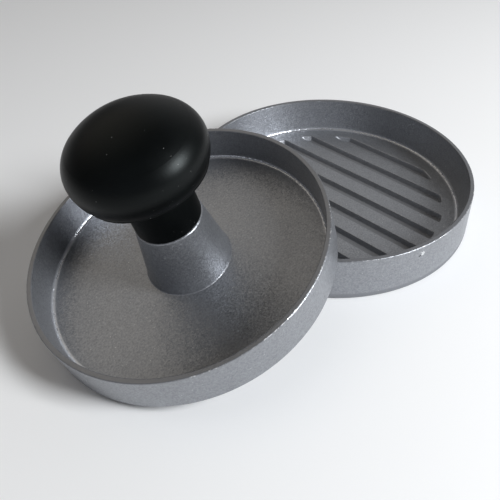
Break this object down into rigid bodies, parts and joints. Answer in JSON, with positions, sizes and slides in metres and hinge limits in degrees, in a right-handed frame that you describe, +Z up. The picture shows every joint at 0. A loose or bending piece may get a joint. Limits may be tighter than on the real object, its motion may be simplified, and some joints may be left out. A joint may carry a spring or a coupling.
{
  "type": "patty press",
  "caption": "Round cast aluminium patty press: grooved mould dish and a rimmed press plate with a black mushroom knob.",
  "frame": {"origin": "centre of the mould's underside, on the table", "axes": "+Z up along the mould's axis; -X points to the side where the press plate leans"},
  "size_m": [0.1983, 0.124, 0.0842],
  "materials": {
    "cast_aluminium": "satin",
    "black_plastic": "satin",
    "brass": "satin",
    "plated_steel": "satin"
  },
  "bodies": {
    "mould": {"base_mould": "cast_aluminium"},
    "press": {"press_plate": "cast_aluminium"},
    "washer": {"boss_washer": "plated_steel"},
    "handle": {"knob": "black_plastic", "knob_insert": "brass", "knob_stud": "plated_steel"}
  },
  "joints": [
    {"name": "press_lift", "type": "slide", "parent": "mould", "child": "press", "axis": [-0.2672, 0, 0.9636], "range_m": [0, 0.06]},
    {"name": "knob_rise", "type": "slide", "parent": "press", "child": "washer", "axis": [-0.2672, 0, 0.9636], "range_m": [0, 0.01251]},
    {"name": "knob_turn", "type": "hinge", "parent": "washer", "child": "handle", "pos_m": [-0.07927, 0, 0.01452], "axis": [-0.2672, 0, 0.9636], "range_deg": [0, 3600]}
  ],
  "couplings": [
    {"joint": "knob_rise", "follows": "knob_turn", "m_per_rad": 0.00019894}
  ]
}
